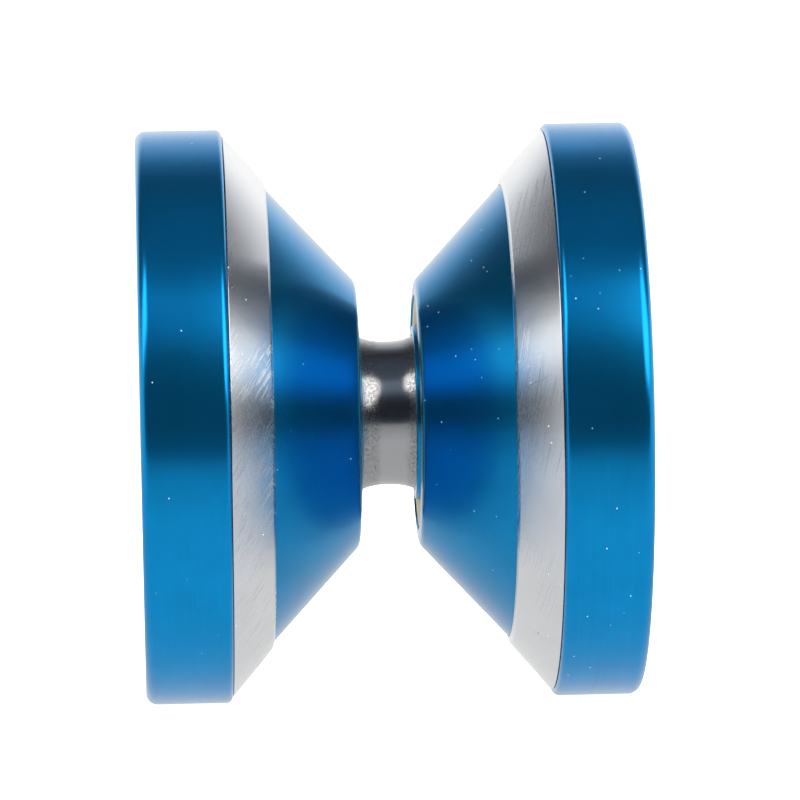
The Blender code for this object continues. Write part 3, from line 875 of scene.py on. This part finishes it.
class YOYO_OT_bearing(bpy.types.Operator):
    """Grind the bearing's races and fit its shields and snap rings"""

    bl_idname = "yoyo.bearing"
    bl_label = "Build the bearing"

    def execute(self, context):
        sizes, finishes = context.scene.yoyo_sizes, context.scene.yoyo_finishes
        race = race_finish(finishes)
        segments = round(0.8 * sizes.segments)
        outer = softened(outer_race_profile(sizes), sizes.broken_edge, closed=True)
        piece("outer_race_ground", turned("outer_race_ground", outer, segments), race,
              "bearing_outer", SIDES["right"], "bearing_steel", "bearing_outer_race")
        inner = softened(inner_race_profile(), sizes.broken_edge, closed=True)
        piece("inner_race_ground", turned("inner_race_ground", inner, segments), race,
              "left_side", SIDES["right"], "bearing_steel", "bearing_inner_race")
        plate = plain_metal_finish("pressed_shield_steel", (0.62, 0.62, 0.63), 0.30,
                                   0.08 * MM, 700.0)
        wire = plain_metal_finish("snap_ring_wire", finishes.spring_metal, 0.34,
                                  0.05 * MM, 1500.0)
        shield = softened(shield_profile(), sizes.broken_edge, closed=True)
        clip = softened(clip_profile(), sizes.broken_edge, closed=True)
        for side, matrix in SIDES.items():
            name = side + "_shield_pressed"
            piece(name, turned(name, shield, segments), plate, "bearing_outer", matrix,
                  "shield_plate", side + "_bearing_shield")
            name = side + "_snap_ring"
            piece(name, turned(name, clip, segments, opening=CLIP_OPENING), wire,
                  "bearing_outer", matrix, "spring_wire", side + "_shield_clip")
        return {"FINISHED"}


class YOYO_OT_bearing_inside(bpy.types.Operator):
    """Finish the balls and the cage, which keep their CAD shapes"""

    bl_idname = "yoyo.bearing_inside"
    bl_label = "Finish the balls and cage"

    def execute(self, context):
        finishes = context.scene.yoyo_finishes
        ball = plain_metal_finish("polished_balls", (0.68, 0.68, 0.69), 0.10, 0.2 * MM, 2500.0)
        brass = plain_metal_finish("turned_brass", finishes.brass, 0.28, 0.07 * MM, 900.0)
        for name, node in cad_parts.items():
            if name.startswith("ball_"):
                node.data.materials.clear()
                node.data.materials.append(brass if name == "ball_cage" else ball)
        return {"FINISHED"}


class YOYO_OT_axle(bpy.types.Operator):
    """Cut the threaded axle with its two hexagon sockets"""

    bl_idname = "yoyo.axle"
    bl_label = "Cut the axle"

    def execute(self, context):
        sizes, finishes = context.scene.yoyo_sizes, context.scene.yoyo_finishes
        oxide = plain_metal_finish("black_oxide_steel", finishes.oxide, 0.36, 0.05 * MM, 1200.0)
        piece("axle_threaded", lofted("axle_threaded", axle_rings(sizes)), oxide, "left_side",
              SIDES["right"], "axle_steel", "axle")
        return {"FINISHED"}


class YOYO_OT_stage(bpy.types.Operator):
    """Set the table, the studio light and the camera"""

    bl_idname = "yoyo.stage"
    bl_label = "Set the stage"

    def execute(self, context):
        scene, stage = context.scene, context.scene.yoyo_stage
        self.table(scene)
        self.studio(scene, stage)
        self.overhead(scene)
        self.camera(scene, stage)
        scene.view_settings.view_transform = "Standard"
        scene.view_settings.look = "None"
        scene.view_settings.exposure = 0.0
        scene.view_settings.gamma = 1.0
        return {"FINISHED"}

    def table(self, scene):
        """A wide white table under the rims."""
        made = Finish("white_table", (0.93, 0.93, 0.93), 0.6, metallic=0.0)
        tone = made.noise(made.place, 14.0, detail=2.0)
        made.feed("Base Color", made.blend(tone, (0.92, 0.92, 0.92), (0.94, 0.94, 0.94)))
        made.feed("Roughness", made.spread(tone, 0.3, 0.7, 0.55, 0.65))
        made.shader.inputs["Emission Color"].default_value = (1.0, 1.0, 1.0, 1.0)
        made.shader.inputs["Emission Strength"].default_value = 1.0
        shape = bmesh.new()
        bmesh.ops.create_grid(shape, x_segments=4, y_segments=4, size=TABLE_REACH)
        table = bpy.data.objects.new("table", finish_mesh(shape, "table"))
        table.data.materials.append(made.material)
        scene.collection.objects.link(table)
        table.location.z = CAD_BOX[0][2] - TABLE_DROP
        table.visible_glossy = False

    def overhead(self, scene):
        """A wide soft light over the table, too soft to show in the metal."""
        lamp = bpy.data.lights.new("overhead_softbox", "AREA")
        lamp.shape = "SQUARE"
        lamp.size = OVERHEAD_SIZE
        lamp.energy = OVERHEAD_POWER
        light = bpy.data.objects.new("overhead_softbox", lamp)
        scene.collection.objects.link(light)
        light.location = OVERHEAD_PLACE
        light.visible_glossy = False

    def studio(self, scene, stage):
        """White behind the object, and for its metal a room with walls and two softboxes."""
        world = bpy.data.worlds.new("studio")
        scene.world = world
        world.use_nodes = True
        world.node_tree.nodes.clear()
        sky = Nodes(world.node_tree)
        heading = sky.node("ShaderNodeTexCoord").outputs["Generated"]
        parts = sky.node("ShaderNodeSeparateXYZ", {0: heading}).outputs
        angle = sky.math("ARCTAN2", parts[2], sky.math("MULTIPLY", parts[1], -1.0))
        angle = sky.math("MULTIPLY", angle, 180.0 / math.pi)
        across = sky.math("ABSOLUTE", parts[0])

        def band(stops):
            """Light that changes with the angle round the axle."""
            turn = sky.math("DIVIDE", sky.math("ADD", angle, 180.0), 360.0)
            ramp = sky.node("ShaderNodeValToRGB", {0: turn})
            elements = ramp.color_ramp.elements
            while len(elements) < len(stops):
                elements.new(0.5)
            for element, (place, level, cool) in zip(elements, stops):
                element.position = (place + 180.0) / 360.0
                level *= stage.table_light
                element.color = (level * (1.0 - 0.6 * cool), level, level * (1.0 + cool), 1.0)
            return ramp.outputs[0]

        room = band(ROOM)
        for side, stops in WALLS:
            sideways = sky.math("MULTIPLY", parts[0], side)
            factor = sky.math("MULTIPLY", sky.spread(sideways, 0.05, 0.45, smooth=True),
                              sky.spread(angle, 95.0, 110.0, smooth=True))
            room = sky.blend(factor, room, band(stops))
        boxes = []
        for side, start, full, bottom, drop, top, rise in SOFTBOXES:
            sideways = sky.math("MULTIPLY", parts[0], side)
            opening = sky.spread(sideways, 0.0, 0.6, smooth=True)
            lower = sky.math("MULTIPLY_ADD", opening, -drop, bottom)
            upper = sky.math("MULTIPLY_ADD", opening, rise, top)
            above = sky.spread(sky.math("SUBTRACT", angle, lower), -SOFTBOX_BLUR, SOFTBOX_BLUR,
                               smooth=True)
            below = sky.spread(sky.math("SUBTRACT", upper, angle), -SOFTBOX_BLUR, SOFTBOX_BLUR,
                               smooth=True)
            boxes.append(sky.math("MULTIPLY", sky.spread(sideways, start, full, smooth=True),
                                  sky.math("MULTIPLY", above, below)))
        softboxes = sky.math("MULTIPLY", sky.math("ADD", *boxes), stage.softbox_light)
        softboxes = sky.node("ShaderNodeCombineXYZ", {0: softboxes, 1: softboxes, 2: softboxes})
        room = sky.node("ShaderNodeVectorMath", {0: room, 1: softboxes.outputs[0]},
                        operation="MAXIMUM").outputs[0]
        room = sky.blend(sky.spread(across, 0.88, 0.98, smooth=True), room, END_LIGHT)
        between = sky.blend(sky.spread(across, 0.80, 0.95, smooth=True),
                            band(ROOM_BETWEEN_HALVES), END_LIGHT)
        path = sky.node("ShaderNodeLightPath").outputs
        twice = sky.math("GREATER_THAN", path["Glossy Depth"], 1.5)
        reflected = sky.node("ShaderNodeBackground", {"Color": sky.blend(twice, room, between)})
        plain = sky.node("ShaderNodeBackground", {"Color": (1.0, 1.0, 1.0, 1.0),
                                                  "Strength": PLAIN_LIGHT})
        both = sky.node("ShaderNodeMixShader", {0: path["Is Glossy Ray"], 1: plain.outputs[0],
                                                2: reflected.outputs[0]})
        sky.node("ShaderNodeOutputWorld", {"Surface": both.outputs[0]})

    def camera(self, scene, stage):
        """A long lens across the string gap, a little to the left of it."""
        lens = bpy.data.cameras.new("camera")
        lens.lens = stage.lens
        lens.sensor_width = 36.0
        lens.clip_start = 0.01
        lens.clip_end = 20.0
        camera = bpy.data.objects.new("camera", lens)
        scene.collection.objects.link(camera)
        camera.matrix_world = (
            Matrix.Translation(stage.camera_place)
            @ Matrix.Rotation(-stage.camera_yaw, 4, "Z")
            @ Matrix.Rotation(math.pi / 2 + stage.camera_pitch, 4, "X")
            @ Matrix.Rotation(stage.camera_roll, 4, "Z"))
        scene.camera = camera


class YOYO_PT_workbench(bpy.types.Panel):
    """Steps of the build, in order"""

    bl_idname = "YOYO_PT_workbench"
    bl_label = "Yo-yo workbench"
    bl_space_type = "VIEW_3D"
    bl_region_type = "UI"
    bl_category = "Yo-yo"

    def draw(self, context):
        for group in ("yoyo_sizes", "yoyo_finishes", "yoyo_stage"):
            box = self.layout.box()
            settings = getattr(context.scene, group)
            for name in settings.__annotations__:
                box.prop(settings, name)
        for step in STEPS:
            self.layout.operator(step.bl_idname)


GROUPS = {"yoyo_sizes": YoyoSizes, "yoyo_finishes": YoyoFinishes, "yoyo_stage": YoyoStage}
STEPS = (YOYO_OT_halves, YOYO_OT_weight_rings, YOYO_OT_response_pads, YOYO_OT_bearing,
         YOYO_OT_bearing_inside, YOYO_OT_axle, YOYO_OT_stage)


def register():
    for group in GROUPS.values():
        bpy.utils.register_class(group)
    for name, group in GROUPS.items():
        setattr(bpy.types.Scene, name, PointerProperty(type=group))
    for step in STEPS:
        bpy.utils.register_class(step)
    bpy.utils.register_class(YOYO_PT_workbench)


def unregister():
    bpy.utils.unregister_class(YOYO_PT_workbench)
    for step in reversed(STEPS):
        bpy.utils.unregister_class(step)
    for name in GROUPS:
        delattr(bpy.types.Scene, name)
    for group in reversed(list(GROUPS.values())):
        bpy.utils.unregister_class(group)


def main():
    """Build every piece in order."""
    register()
    bpy.ops.yoyo.halves()
    bpy.ops.yoyo.weight_rings()
    bpy.ops.yoyo.response_pads()
    bpy.ops.yoyo.bearing()
    bpy.ops.yoyo.bearing_inside()
    bpy.ops.yoyo.axle()
    bpy.ops.yoyo.stage()
    bpy.context.view_layer.update()


if __name__ == "__main__":
    main()
